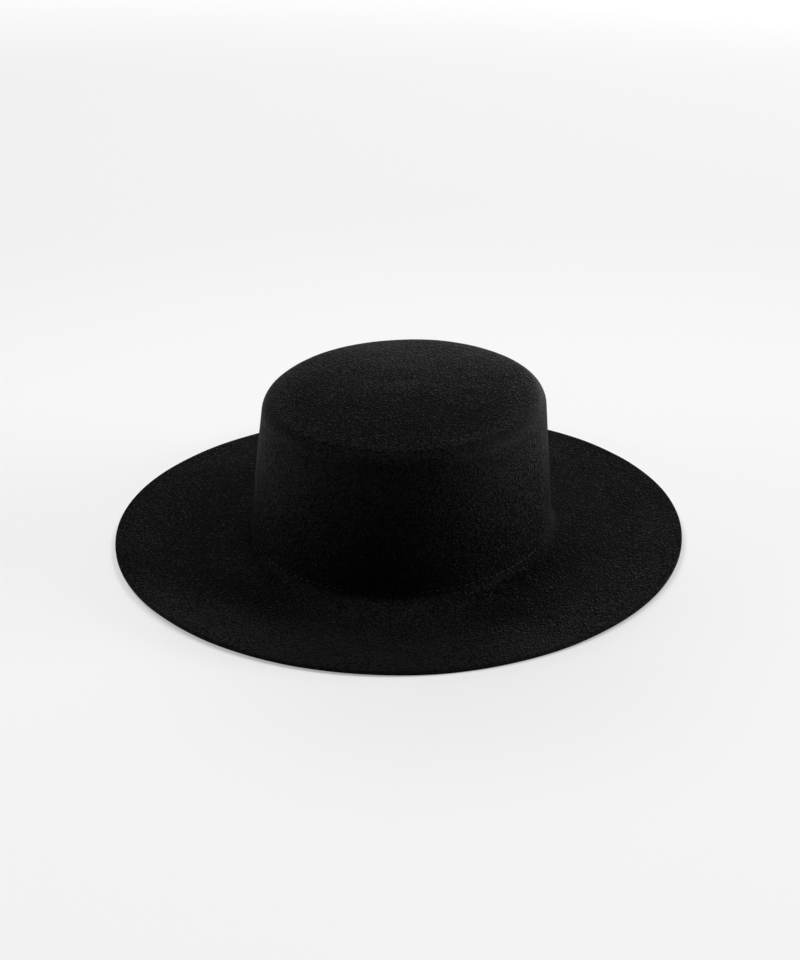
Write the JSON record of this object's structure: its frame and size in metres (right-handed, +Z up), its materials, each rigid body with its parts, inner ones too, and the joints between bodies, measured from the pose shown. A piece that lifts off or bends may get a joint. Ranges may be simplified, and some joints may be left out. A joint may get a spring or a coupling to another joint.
{
  "type": "boater hat",
  "caption": "Black wool felt boater hat with a flat round-edged crown, a wide flat brim with a cut edge and a ribbon sweatband inside.",
  "frame": {"origin": "middle of the brim's outline at the level of its underside", "axes": "+Z up out of the crown, -Y towards the hat's front, +X to the side"},
  "size_m": [0.3404, 0.3616, 0.0958],
  "materials": {
    "wool_felt": "matt black wool felt with short fibres",
    "ribbon": "black ribbed ribbon with a faint sheen"
  },
  "bodies": {
    "root": {"felt_body": "wool_felt", "sweatband": "ribbon"}
  },
  "joints": []
}
